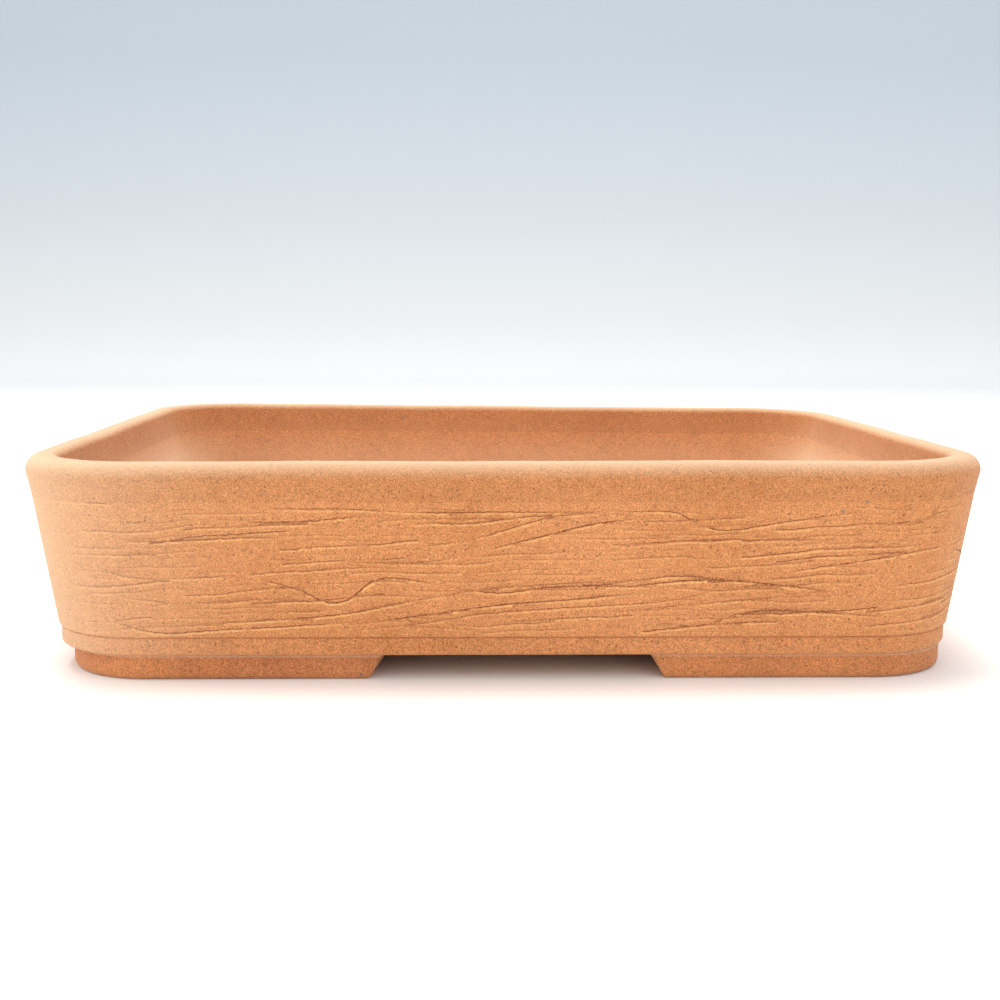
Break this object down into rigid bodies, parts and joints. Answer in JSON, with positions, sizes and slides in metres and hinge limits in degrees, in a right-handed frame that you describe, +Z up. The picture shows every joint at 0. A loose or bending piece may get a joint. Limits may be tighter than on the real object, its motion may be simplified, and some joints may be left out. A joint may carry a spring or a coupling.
{
  "type": "bonsai pot",
  "caption": "Shallow rectangular slab-built bonsai pot with rounded corners, rolled lip, scored outer walls, drain holes and corner feet.",
  "frame": {"origin": "centre of the table plane under the pot, midway between the feet", "axes": "+X along the pot's long side to the right, -Y towards the front, +Z up"},
  "size_m": [0.31, 0.25, 0.07],
  "materials": {
    "fired_wall_clay": "unglazed sandy stoneware, scored in rough level lines",
    "fired_lip_clay": "unglazed stoneware, smoothed with a wet leather",
    "fired_floor_clay": "unglazed stoneware, rolled slab",
    "fired_foot_clay": "unglazed stoneware, trimmed and sponged"
  },
  "bodies": {
    "root": {"floor_slab": "fired_floor_clay", "front_wall": "fired_wall_clay", "rear_wall": "fired_wall_clay", "left_wall": "fired_wall_clay", "right_wall": "fired_wall_clay", "front_lip": "fired_lip_clay", "rear_lip": "fired_lip_clay", "left_lip": "fired_lip_clay", "right_lip": "fired_lip_clay", "front_seam_coil": "fired_floor_clay", "rear_seam_coil": "fired_floor_clay", "left_seam_coil": "fired_floor_clay", "right_seam_coil": "fired_floor_clay", "foot_front_left": "fired_foot_clay", "foot_front_right": "fired_foot_clay", "foot_rear_left": "fired_foot_clay", "foot_rear_right": "fired_foot_clay"}
  },
  "joints": []
}
